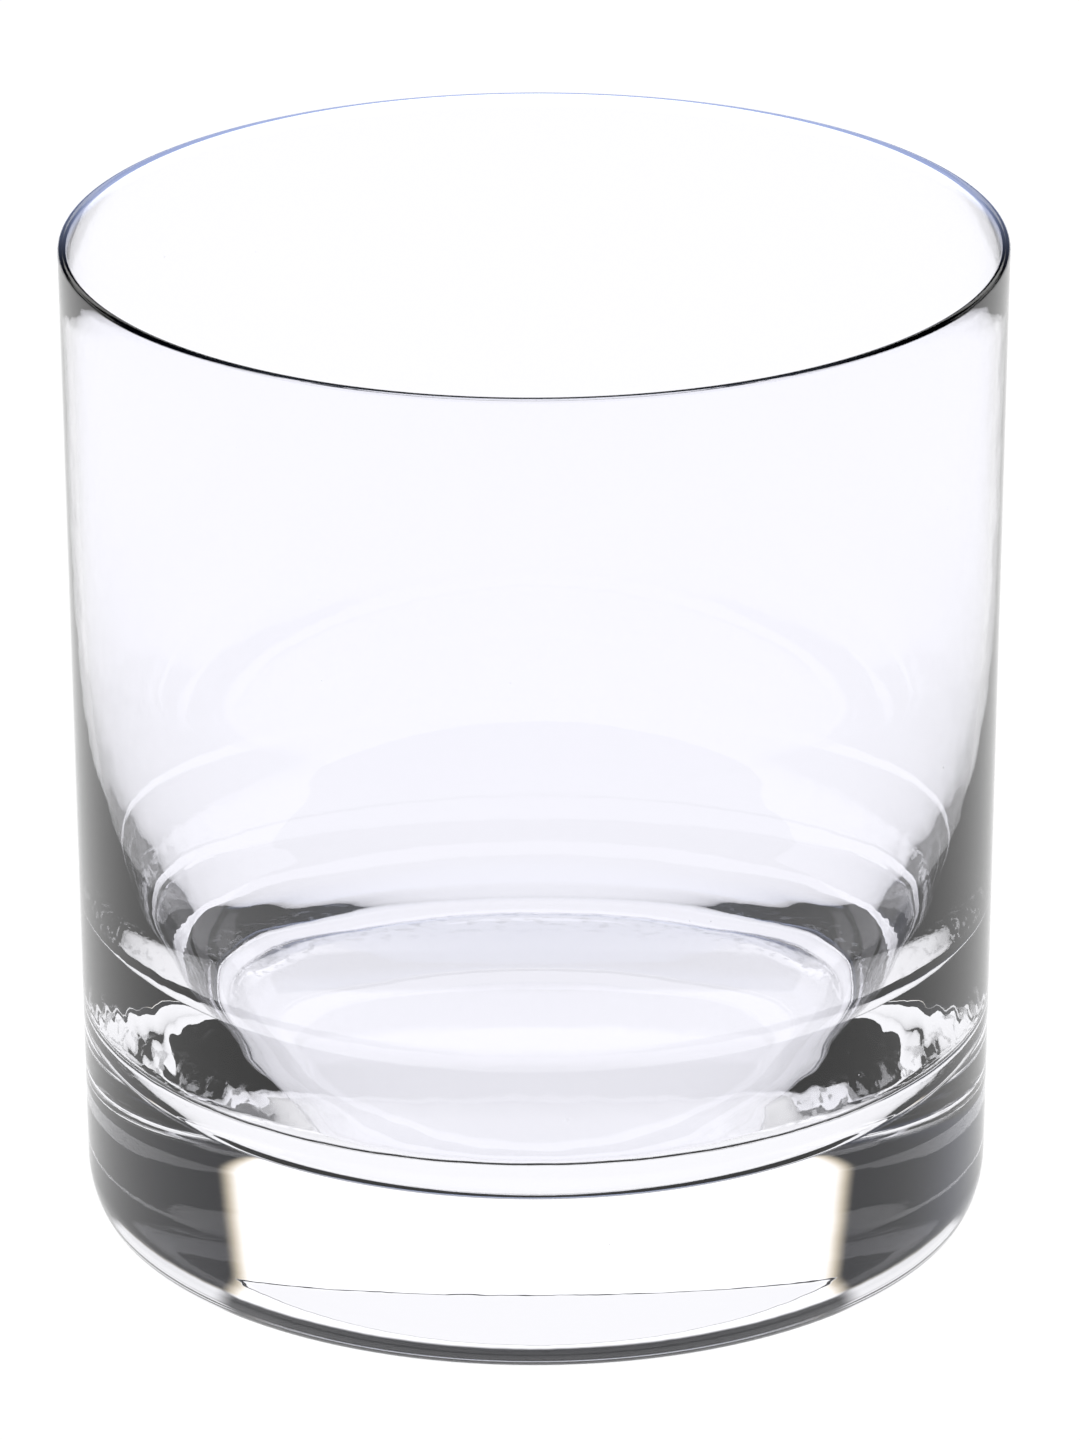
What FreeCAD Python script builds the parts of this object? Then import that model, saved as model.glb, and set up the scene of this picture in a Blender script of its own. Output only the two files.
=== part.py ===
# Whiskey tumbler (old fashioned glass), in millimetres, +Z up.
# The origin is on the axis, in the plane that the glass stands on.
# The tumbler is one piece of clear glass, blown and pressed from a single gob, so it is one solid of
# revolution: a thin rim melted round by flame, a nearly straight wall that thickens towards the bottom,
# a heavy solid base with a soft heel, a flat ring that it stands on, and a very shallow hollow inside it.
import FreeCAD, Part
import math
import os

NODE = "tumbler_glass"

# Overall size
HEIGHT = 92.5
RIM_RADIUS = 42.5        # outside of the glass at the rim
BASE_RADIUS = 41.3       # outside of the wall, carried down to the standing plane

# Wall: its thickness grows slowly down from the rim, and quickly where it runs into the base
RIM_THICKNESS = 0.85
WALL_GROWTH = 0.008      # thickness gained per millimetre of depth below the rim
SHOULDER_THICKNESS = 5.0  # extra thickness that the shoulder adds at the height where the floor's corner starts
SHOULDER_REACH = 22.0    # the shoulder has died away at about twice this height above the corner

# Inside of the base
FLOOR_HEIGHT = 13.3      # flat inside floor above the standing plane
CORNER_RADIUS = 10.0     # between the floor and the wall, inside
CORNER_TILT = 20.0       # slope of the inside wall, from upright, where the floor's corner starts

# Outside of the base
HEEL_WIDTH = 2.5         # the heel is a quarter of an ellipse, twice as high as it is wide
HEEL_HEIGHT = 5.0
RING_WIDTH = 3.0         # flat ring that the glass stands on
PUNT_DEPTH = 0.5         # hollow under the base, on the axis

# Points that carry the curves that are not circles
WALL_POINTS = 16
HEEL_POINTS = 7
PUNT_POINTS = 7

TAPER = (RIM_RADIUS - BASE_RADIUS) / HEIGHT
CORNER_START = math.radians(CORNER_TILT)
CORNER_CENTRE_HEIGHT = FLOOR_HEIGHT + CORNER_RADIUS
CORNER_TOP = CORNER_CENTRE_HEIGHT - CORNER_RADIUS * math.sin(CORNER_START)
# how fast the shoulder starts to thin out, chosen so that wall and corner meet without a crease
SHOULDER_LENGTH = SHOULDER_THICKNESS / (math.tan(CORNER_START) - WALL_GROWTH - TAPER)


def outer_radius(z):
    """Outside radius of the wall at height z."""
    return BASE_RADIUS + TAPER * z


def inner_radius(z):
    """Inside radius of the wall at height z, above the floor's corner."""
    above = z - CORNER_TOP
    shoulder = SHOULDER_THICKNESS * math.exp(-above / SHOULDER_LENGTH - (above / SHOULDER_REACH) ** 2)
    return outer_radius(z) - RIM_THICKNESS - WALL_GROWTH * (HEIGHT - z) - shoulder


RING_OUTER = outer_radius(HEEL_HEIGHT) - HEEL_WIDTH
RING_INNER = RING_OUTER - RING_WIDTH
RIM_START = HEIGHT - RIM_THICKNESS / 2


def point(r, z):
    """A point of the outline, which lies in the XZ plane."""
    return FreeCAD.Vector(r, 0, z)


def around(r, z, width, height, angle):
    """The point at an angle, in radians, on an ellipse centred at radius r and height z."""
    return point(r + width * math.cos(angle), z + height * math.sin(angle))


def arc(r, z, radius, start, end):
    """An arc of a circle centred at radius r and height z, between two angles."""
    middle = (start + end) / 2
    ends = [around(r, z, radius, radius, angle) for angle in (start, middle, end)]
    return Part.Arc(*ends).toShape()


def curve(points):
    """A smooth curve through points."""
    spline = Part.BSplineCurve()
    spline.interpolate(points)
    return spline.toShape()


def spread(start, end, count):
    """count evenly spaced values, from start to end."""
    return [start + (end - start) * i / (count - 1) for i in range(count)]


def underside():
    """Hollow and standing ring, from the axis outwards."""
    hollow = [point(r, PUNT_DEPTH * (1 - (r / RING_INNER) ** 2)) for r in spread(0, RING_INNER, PUNT_POINTS)]
    return [curve(hollow), Part.makeLine(point(RING_INNER, 0), point(RING_OUTER, 0))]


def outside():
    """Heel and outer wall, up to where the rim starts to turn."""
    angles = spread(-math.pi / 2, 0, HEEL_POINTS)
    heel = [around(RING_OUTER, HEEL_HEIGHT, HEEL_WIDTH, HEEL_HEIGHT, angle) for angle in angles]
    return [curve(heel), Part.makeLine(heel[-1], point(outer_radius(RIM_START), RIM_START))]


def rim():
    """The round that the flame leaves on the rim."""
    half = RIM_THICKNESS / 2
    return [arc(outer_radius(RIM_START) - half, RIM_START, half, 0, math.pi)]


def inside():
    """Inner wall, corner and floor, from the rim to the axis."""
    wall = [point(inner_radius(z), z) for z in spread(RIM_START, CORNER_TOP, WALL_POINTS)]
    wall[0] = point(outer_radius(RIM_START) - RIM_THICKNESS, RIM_START)
    floor_edge = wall[-1].x - CORNER_RADIUS * math.cos(CORNER_START)
    corner = arc(floor_edge, CORNER_CENTRE_HEIGHT, CORNER_RADIUS, -CORNER_START, -math.pi / 2)
    return [curve(wall), corner, Part.makeLine(point(floor_edge, FLOOR_HEIGHT), point(0, FLOOR_HEIGHT))]


def tumbler():
    """The whole glass, as its outline turned once round the axis."""
    axis = Part.makeLine(point(0, FLOOR_HEIGHT), point(0, PUNT_DEPTH))
    edges = underside() + outside() + rim() + inside() + [axis]
    face = Part.Face(Part.Wire(Part.__sortEdges__(edges)))
    turned = face.revolve(FreeCAD.Vector(0, 0, 0), FreeCAD.Vector(0, 0, 1), 360)
    solid = Part.Solid(turned.Shells[0]) if turned.ShapeType != "Solid" else turned
    if solid.Volume < 0:
        solid.reverse()
    return solid


os.makedirs("parts", exist_ok=True)
glass = tumbler()
print(NODE, "valid", glass.isValid(), "volume_cm3", round(glass.Volume / 1000, 2))
glass.exportStep(os.path.join("parts", NODE + ".step"))
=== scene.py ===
# Whiskey tumbler (old fashioned glass): the visible piece and its stage, in metres, +Z up.
# The tumbler is one piece of clear glass, so the visible model is one closed lathe of the same outline.
import math
import random

import bpy
from mathutils import Matrix


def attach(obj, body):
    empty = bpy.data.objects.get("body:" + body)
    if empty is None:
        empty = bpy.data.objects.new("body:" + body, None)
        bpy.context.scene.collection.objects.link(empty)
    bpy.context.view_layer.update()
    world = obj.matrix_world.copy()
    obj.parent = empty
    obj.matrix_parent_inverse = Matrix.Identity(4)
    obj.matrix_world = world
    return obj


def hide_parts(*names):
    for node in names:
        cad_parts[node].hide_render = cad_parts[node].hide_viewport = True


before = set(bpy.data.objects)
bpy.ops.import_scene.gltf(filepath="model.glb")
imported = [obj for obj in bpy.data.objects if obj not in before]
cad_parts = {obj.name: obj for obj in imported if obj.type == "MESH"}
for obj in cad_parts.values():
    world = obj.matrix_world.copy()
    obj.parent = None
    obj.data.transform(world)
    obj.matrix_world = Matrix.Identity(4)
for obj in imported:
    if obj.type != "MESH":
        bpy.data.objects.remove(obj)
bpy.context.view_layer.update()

MM = 0.001

# ---------------------------------------------------------------- outline of the glass, in millimetres
HEIGHT = 92.5
RIM_RADIUS = 42.5
BASE_RADIUS = 41.3
RIM_THICKNESS = 0.85
WALL_GROWTH = 0.008
SHOULDER_THICKNESS = 5.0
SHOULDER_REACH = 22.0     # the shoulder has died away at about twice this height above the corner
FLOOR_HEIGHT = 13.3
CORNER_RADIUS = 10.0
CORNER_TILT = 20.0        # slope of the inside wall, from upright, where the floor's corner starts
HEEL_WIDTH = 2.5
HEEL_HEIGHT = 5.0
RING_WIDTH = 3.0
PUNT_DEPTH = 0.5
RIPPLE = 0.014            # height of the faint rings that the plunger leaves on the inside wall
RIPPLE_PITCH = 5.6
CRIMP = 0.010             # short waves low on the inside of the wall
CORNER_RING_HEIGHT = 0.012    # fine rings in the corner between floor and wall
CORNER_RINGS = 5
WAVER = 0.008             # how far the inside of the shoulder wanders round the glass

# Where the inside is uneven
ROUND_SKIN = 0.3          # points within the rim's thickness and this of the outside stay round
ROUND_FLOOR = 0.5         # so does everything below this height above the floor
FADE_TOP = 52.0           # the rings and the wandering die out at this height
FADE_DEPTH = 25.0         # and reach full height this far below it
FADE_FOOT = 8.0           # they also fade over this height above the floor
CRIMP_RISE = 2.0          # the short waves are highest this far above the corner
CRIMP_SPAN = 4.0
CRIMP_WAVES = 53          # short waves round the glass, and their lean with height
CRIMP_LEAN = 0.9
CRIMP_GROUPS = 17         # the waves come in groups
GROUP_LEAN = 0.4
GROUP_START = 1.0

# The wandering is a sum of waves: each has a count round the glass, a weight, a lean and a start
WAVE_COUNTS = (5, 9, 14, 21, 29, 37)
WAVE_SEED = 7
WAVE_WEIGHT = (0.5, 1.0)
WAVE_SHARE = 3
WAVE_LEAN = 0.35
dice = random.Random(WAVE_SEED)
WAVES = [(waves, dice.uniform(*WAVE_WEIGHT) / WAVE_SHARE, dice.uniform(-WAVE_LEAN, WAVE_LEAN),
          dice.uniform(0, 2 * math.pi))
         for waves in WAVE_COUNTS]

# Mesh density: faces round the glass, and rows along each part of the outline
SEGMENTS = 360
PUNT_ROWS = 30
RING_ROWS = 4
HEEL_ROWS = 18
OUTSIDE_ROWS = 20
RIM_ROWS = 12
INSIDE_ROWS = 60
CORNER_ROWS = 44
FLOOR_ROWS = 30

CORNER_CENTRE = FLOOR_HEIGHT + CORNER_RADIUS
TILT = math.radians(CORNER_TILT)
CORNER_TOP = CORNER_CENTRE - CORNER_RADIUS * math.sin(TILT)
TAPER = (RIM_RADIUS - BASE_RADIUS) / HEIGHT
SHOULDER_LENGTH = SHOULDER_THICKNESS / (math.tan(TILT) - WALL_GROWTH - TAPER)


def outer_radius(z):
    """Outside radius of the wall at height z."""
    return BASE_RADIUS + (RIM_RADIUS - BASE_RADIUS) * z / HEIGHT


def inner_radius(z):
    """Inside radius of the wall at height z, above the floor's corner."""
    above = z - CORNER_TOP
    shoulder = SHOULDER_THICKNESS * math.exp(-above / SHOULDER_LENGTH - (above / SHOULDER_REACH) ** 2)
    return outer_radius(z) - RIM_THICKNESS - WALL_GROWTH * (HEIGHT - z) - shoulder


RING_OUTER = outer_radius(HEEL_HEIGHT) - HEEL_WIDTH
RING_INNER = RING_OUTER - RING_WIDTH


def steps(start, end, count):
    """count evenly spaced values after start, the last of them being end."""
    return [start + (end - start) * (i + 1) / count for i in range(count)]


def outline():
    """Outline from the axis under the base, round the outside and the rim, and back to the axis inside."""
    points = [(0.0, PUNT_DEPTH)]
    for r in steps(0.0, RING_INNER, PUNT_ROWS):
        points.append((r, PUNT_DEPTH * (1 - (r / RING_INNER) ** 2)))
    for r in steps(RING_INNER, RING_OUTER, RING_ROWS):
        points.append((r, 0.0))
    for a in steps(-90.0, 0.0, HEEL_ROWS):
        turn = math.radians(a)
        points.append((RING_OUTER + HEEL_WIDTH * math.cos(turn), HEEL_HEIGHT * (1 + math.sin(turn))))
    half = RIM_THICKNESS / 2
    top = HEIGHT - half
    for z in steps(HEEL_HEIGHT, top, OUTSIDE_ROWS):
        points.append((outer_radius(z), z))
    lip = outer_radius(top) - half
    for a in steps(0.0, 180.0, RIM_ROWS):
        turn = math.radians(a)
        points.append((lip + half * math.cos(turn), top + half * math.sin(turn)))
    for z in steps(top, CORNER_TOP, INSIDE_ROWS):
        points.append((inner_radius(z), z))
    foot = inner_radius(CORNER_TOP) - CORNER_RADIUS * math.cos(TILT)
    for a in steps(-CORNER_TILT, -90.0, CORNER_ROWS):
        turn = math.radians(a)
        share = (a + CORNER_TILT) / (CORNER_TILT - 90.0)
        ring = CORNER_RING_HEIGHT * math.sin(2 * math.pi * CORNER_RINGS * share)
        reach = CORNER_RADIUS + ring * math.sin(math.pi * share)
        points.append((foot + reach * math.cos(turn), CORNER_CENTRE + reach * math.sin(turn)))
    for r in steps(foot, 0.0, FLOOR_ROWS):
        points.append((r, FLOOR_HEIGHT))
    return points


def waver(r, z, turn):
    """How much the inside of the glass leaves a perfect round, at radius r, height z and angle turn."""
    if r > outer_radius(z) - RIM_THICKNESS - ROUND_SKIN or z < FLOOR_HEIGHT + ROUND_FLOOR:
        return 0.0
    fade_in = min(1.0, (z - FLOOR_HEIGHT - ROUND_FLOOR) / FADE_FOOT)
    fade = max(0.0, min(1.0, (FADE_TOP - z) / FADE_DEPTH)) * fade_in
    rings = RIPPLE * math.sin(2 * math.pi * z / RIPPLE_PITCH)
    around = 0.0
    for waves, weight, climb, start in WAVES:
        around += weight * math.sin(waves * turn + climb * z + start)
    low = math.exp(-((z - CORNER_TOP - CRIMP_RISE) / CRIMP_SPAN) ** 2)
    groups = math.sin(CRIMP_GROUPS * turn - GROUP_LEAN * z + GROUP_START)
    crisp = CRIMP * low * math.sin(CRIMP_WAVES * turn + CRIMP_LEAN * z) * groups
    return fade * (rings + WAVER * around) + crisp


def lathe(name, points):
    """Closed mesh made by turning an outline, which starts and ends on the axis, round the Z axis."""
    rings = points[1:-1]
    verts = [(0.0, 0.0, points[0][1] * MM)]
    for r, z in rings:
        for s in range(SEGMENTS):
            turn = 2 * math.pi * s / SEGMENTS
            reach = (r + waver(r, z, turn)) * MM
            verts.append((reach * math.cos(turn), reach * math.sin(turn), z * MM))
    verts.append((0.0, 0.0, points[-1][1] * MM))

    def at(ring, s):
        return 1 + ring * SEGMENTS + s % SEGMENTS

    last = len(rings) - 1
    end = len(verts) - 1
    faces = [(0, at(0, s + 1), at(0, s)) for s in range(SEGMENTS)]
    for ring in range(last):
        for s in range(SEGMENTS):
            faces.append((at(ring, s), at(ring, s + 1), at(ring + 1, s + 1), at(ring + 1, s)))
    faces += [(at(last, s), at(last, s + 1), end) for s in range(SEGMENTS)]
    mesh = bpy.data.meshes.new(name)
    mesh.from_pydata(verts, [], faces)
    mesh.update()
    for face in mesh.polygons:
        face.use_smooth = True
    piece = bpy.data.objects.new(name, mesh)
    bpy.context.scene.collection.objects.link(piece)
    return piece


# ---------------------------------------------------------------- shader helpers
class Nodes:
    """Short ways to add and join nodes in one tree."""

    def __init__(self, tree):
        self.tree = tree

    def put(self, socket, value):
        if isinstance(value, (int, float, tuple)):
            socket.default_value = value
        elif value is not None:
            self.tree.links.new(value, socket)

    def math(self, op, a, b=None):
        node = self.tree.nodes.new("ShaderNodeMath")
        node.operation = op
        self.put(node.inputs[0], a)
        self.put(node.inputs[1], b)
        return node.outputs[0]

    def ramp(self, value, low, high, at_low, at_high):
        """Smooth step of a value, from at_low (at low) to at_high (at high)."""
        node = self.tree.nodes.new("ShaderNodeMapRange")
        node.interpolation_type = "SMOOTHSTEP"
        for socket, v in zip(node.inputs, (value, low, high, at_low, at_high)):
            self.put(socket, v)
        return node.outputs[0]

    def texture(self, kind, result, scale):
        """Value of a 3-D texture over the object's own coordinates."""
        where = self.tree.nodes.new("ShaderNodeTexCoord")
        node = self.tree.nodes.new(kind)
        node.inputs["Scale"].default_value = scale
        self.tree.links.new(where.outputs["Object"], node.inputs["Vector"])
        return node.outputs[result if result in node.outputs else 0]

    def axes(self, coordinate):
        """X, Y and Z of a texture coordinate."""
        where = self.tree.nodes.new("ShaderNodeTexCoord")
        split = self.tree.nodes.new("ShaderNodeSeparateXYZ")
        self.tree.links.new(where.outputs[coordinate], split.inputs[0])
        return split.outputs

    def mix(self, factor, a, b):
        """Colour between a and b."""
        node = self.tree.nodes.new("ShaderNodeMix")
        node.data_type = "RGBA"
        self.put(node.inputs["Factor"], factor)
        self.put(node.inputs[6], a)
        self.put(node.inputs[7], b)
        return node.outputs[2]


# ---------------------------------------------------------------- glass
GLASS_TINT = (0.962, 0.960, 1.0, 1.0)
GLASS_IOR = 1.52
# painted glow: weak emission on the far half of the rim, a stand-in for daylight piped up the wall, which
# leaves the glass at the far side of the rim
PAINTED_RIM_GLOW = 0.40
RIM_GLOW_COLOR = (0.52, 0.62, 1.0, 1.0)
RIM_GLOW_STARTS = 1.3     # millimetres below the top, and full from the next height up
RIM_GLOW_FULL = 0.4
RIM_GLOW_NEAR = -0.010    # it grows from here, across the glass, to full at the next place
RIM_GLOW_FAR = 0.020
DUST_CELL = 220.0         # dust specks: cells per metre, size and share of a cell
DUST_SIZE = 0.022
DUST_SOFT = 0.6           # a speck is solid up to this share of its size
DUST_ROUGHNESS = 0.45
DUST_PATCH_SCALE = 60.0   # the specks lie in patches
DUST_PATCH = (0.52, 0.60)
WEAR_ROUGHNESS = 0.22     # rubbed patches of the ring that the glass stands on
WEAR_SCALE = 700.0
WEAR_PATCH = (0.50, 0.62)
WEAR_HEIGHT = (0.00004, 0.00020)    # the rubbing fades out between these heights
BUMP_DISTANCE = 0.000004  # height of the faint waves in the fire-polished surface
BUMP_SCALE = 260.0


def glass_material():
    """Clear glass with faint waves, a few dust specks, a rubbed standing ring and a painted glow on the
    far half of the rim.
    """
    material = bpy.data.materials.new("clear_glass_look")
    material.use_nodes = True
    tree = material.node_tree
    n = Nodes(tree)
    shader = tree.nodes["Principled BSDF"]
    shader.inputs["Base Color"].default_value = GLASS_TINT
    shader.inputs["Transmission Weight"].default_value = 1.0
    shader.inputs["IOR"].default_value = GLASS_IOR
    shader.inputs["Emission Color"].default_value = RIM_GLOW_COLOR
    _, y, z = n.axes("Object")
    rub = n.ramp(n.texture("ShaderNodeTexNoise", "Factor", WEAR_SCALE), *WEAR_PATCH, 0.0, WEAR_ROUGHNESS)
    wear = n.math("MULTIPLY", n.ramp(z, *WEAR_HEIGHT, 1.0, 0.0), rub)
    cells = n.texture("ShaderNodeTexVoronoi", "Distance", DUST_CELL)
    speck = n.ramp(cells, DUST_SIZE * DUST_SOFT, DUST_SIZE, 1.0, 0.0)
    patches = n.texture("ShaderNodeTexNoise", "Factor", DUST_PATCH_SCALE)
    patch = n.ramp(patches, *DUST_PATCH, 0.0, DUST_ROUGHNESS)
    n.put(shader.inputs["Roughness"], n.math("MAXIMUM", wear, n.math("MULTIPLY", speck, patch)))
    bump = tree.nodes.new("ShaderNodeBump")
    bump.inputs["Distance"].default_value = BUMP_DISTANCE
    n.put(bump.inputs["Height"], n.texture("ShaderNodeTexNoise", "Factor", BUMP_SCALE))
    n.put(shader.inputs["Normal"], bump.outputs["Normal"])
    # painted glow: emission near the top of the rim, growing across the glass to full on its far half
    low, high = (HEIGHT - RIM_GLOW_STARTS) * MM, (HEIGHT - RIM_GLOW_FULL) * MM
    rim = n.math("MULTIPLY", n.ramp(z, low, high, 0.0, PAINTED_RIM_GLOW),
                 n.ramp(y, RIM_GLOW_NEAR, RIM_GLOW_FAR, 0.0, 1.0))
    n.put(shader.inputs["Emission Strength"], rim)
    return material


tumbler = lathe("tumbler_body", outline())
tumbler.data.materials.append(glass_material())
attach(tumbler, "root")
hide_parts("tumbler_glass")

# ---------------------------------------------------------------- stage
FLOOR_HALF = 3.0
FLOOR_DROP = 0.0002       # keeps the floor clear of the standing ring
FLOOR_COLOR = (1.0, 1.0, 1.0, 1.0)
FLOOR_BRIGHT = 1.04


def floor_piece():
    """A plain, evenly lit pale table."""
    mesh = bpy.data.meshes.new("floor")
    s = FLOOR_HALF
    mesh.from_pydata([(-s, -s, 0), (s, -s, 0), (s, s, 0), (-s, s, 0)], [], [(0, 1, 2, 3)])
    piece = bpy.data.objects.new("floor", mesh)
    bpy.context.scene.collection.objects.link(piece)
    piece.location.z = -FLOOR_DROP
    material = bpy.data.materials.new("floor_look")
    material.use_nodes = True
    tree = material.node_tree
    tree.nodes.clear()
    out = tree.nodes.new("ShaderNodeOutputMaterial")
    glow = tree.nodes.new("ShaderNodeEmission")
    glow.inputs["Color"].default_value = FLOOR_COLOR
    glow.inputs["Strength"].default_value = FLOOR_BRIGHT
    tree.links.new(glow.outputs[0], out.inputs[0])
    mesh.materials.append(material)


floor_piece()

# Angles are in degrees: aside from straight behind the glass, and up from level
PANEL_HALF_ANGLE = 33.4   # the bright panel behind, to each side
PANEL_SOFT = 2.0
PANEL_TOP = (29.0, 33.0)  # it fades out between these heights
PANEL_FOOT = 18.5
PANEL_FOOT_SOFT = 2
PANEL_BRIGHT = 1.25
STRIP_BRIGHT = 0.9        # low strip lights on both sides of the panel
STRIP_STARTS = (32, 36)
STRIP_ENDS = (58, 64)
STRIP_FOOT = (7, 10)
STRIP_TOP = (19, 21.5)
SKY_BRIGHT = 0.7          # soft light overhead
SKY_RISE = (40, 65)
SKY_BLUE_RISE = (33, 40)
SKY_COLOR = (0.62, 0.72, 1.0, 1.0)
WHITE = (1.0, 1.0, 1.0, 1.0)
WARM_EDGE = (1.0, 0.88, 0.66, 1.0)       # the panel's edges are a little warmer
WARM_STARTS = 2.5         # inside the panel's edge
WARM_ENDS = 0.5           # outside it
WARM_FOOT = (1, 3)        # above the panel's foot
ROOM_COLOR = (0.006, 0.0065, 0.010, 1.0)
BLUE_SIDE = (0.014, 0.020, 0.045, 1.0)   # cool daylight from the left
BLUE_ASIDE = 95           # its middle, to the left
BLUE_WIDTH = (25, 50)
BLUE_RISE = (0, 20)


def surroundings():
    """A bright panel behind the glass, strips beside it and a soft light overhead, in a dark room."""
    world = bpy.data.worlds.new("room")
    bpy.context.scene.world = world
    world.use_nodes = True
    n = Nodes(world.node_tree)
    back = world.node_tree.nodes["Background"]
    x, y, z = n.axes("Generated")
    turn = n.math("ARCTAN2", x, y)
    aside = n.math("ABSOLUTE", turn)
    rise = n.math("ARCSINE", z)

    def fade(value, start, end, at_start, at_end):
        return n.ramp(value, math.radians(start), math.radians(end), at_start, at_end)

    width = fade(aside, PANEL_HALF_ANGLE - PANEL_SOFT, PANEL_HALF_ANGLE + PANEL_SOFT, 1.0, 0.0)
    height = fade(rise, *PANEL_TOP, 1.0, 0.0)
    foot = fade(rise, PANEL_FOOT, PANEL_FOOT + PANEL_FOOT_SOFT, 0.0, 1.0)
    panel = n.math("MULTIPLY", n.math("MULTIPLY", width, n.math("MULTIPLY", height, foot)), PANEL_BRIGHT)
    sky = fade(rise, *SKY_RISE, 0.0, SKY_BRIGHT)
    strip = n.math("MULTIPLY", fade(aside, *STRIP_STARTS, 0.0, 1.0), fade(aside, *STRIP_ENDS, 1.0, 0.0))
    strip = n.math("MULTIPLY", strip, fade(rise, *STRIP_FOOT, 0.0, STRIP_BRIGHT))
    strip = n.math("MULTIPLY", strip, fade(rise, *STRIP_TOP, 1.0, 0.0))
    light = n.math("MAXIMUM", n.math("MAXIMUM", panel, strip), sky)
    edge = fade(aside, PANEL_HALF_ANGLE - WARM_STARTS, PANEL_HALF_ANGLE + WARM_ENDS, 0.0, 1.0)
    above = fade(rise, PANEL_FOOT + WARM_FOOT[0], PANEL_FOOT + WARM_FOOT[1], 0.0, 1.0)
    lit = n.mix(n.math("MULTIPLY", edge, above), WHITE, WARM_EDGE)
    lit = n.mix(fade(rise, *SKY_BLUE_RISE, 0.0, 1.0), lit, SKY_COLOR)
    from_left = n.math("ABSOLUTE", n.math("ADD", turn, math.radians(BLUE_ASIDE)))
    window = n.math("MULTIPLY", fade(from_left, *BLUE_WIDTH, 1.0, 0.0), fade(rise, *BLUE_RISE, 0.0, 1.0))
    dark = n.mix(window, ROOM_COLOR, BLUE_SIDE)
    n.put(back.inputs["Color"], n.mix(light, dark, lit))
    n.put(back.inputs["Strength"], n.math("MAXIMUM", light, 1.0))


surroundings()

# ---------------------------------------------------------------- camera
CAMERA_DISTANCE = 0.830   # in front of the glass's axis
CAMERA_HEIGHT = 0.3753
CAMERA_PITCH = 0.3774     # radians below level
CAMERA_ROLL = -0.0024
LENS_MM = 245.45
SENSOR_MM = 36.0
SIDE_SHIFT = 0.0034
NEAREST = 0.01

lens = bpy.data.cameras.new("photo_camera")
camera = bpy.data.objects.new("photo_camera", lens)
bpy.context.scene.collection.objects.link(camera)
bpy.context.scene.camera = camera
lens.sensor_width = SENSOR_MM
lens.lens = LENS_MM
lens.shift_x = SIDE_SHIFT
lens.clip_start = NEAREST
camera.location = (0.0, -CAMERA_DISTANCE, CAMERA_HEIGHT)
aim = Matrix.Rotation(math.pi / 2 - CAMERA_PITCH, 4, "X") @ Matrix.Rotation(CAMERA_ROLL, 4, "Z")
camera.rotation_euler = aim.to_euler()
bpy.context.scene.view_settings.view_transform = "Standard"
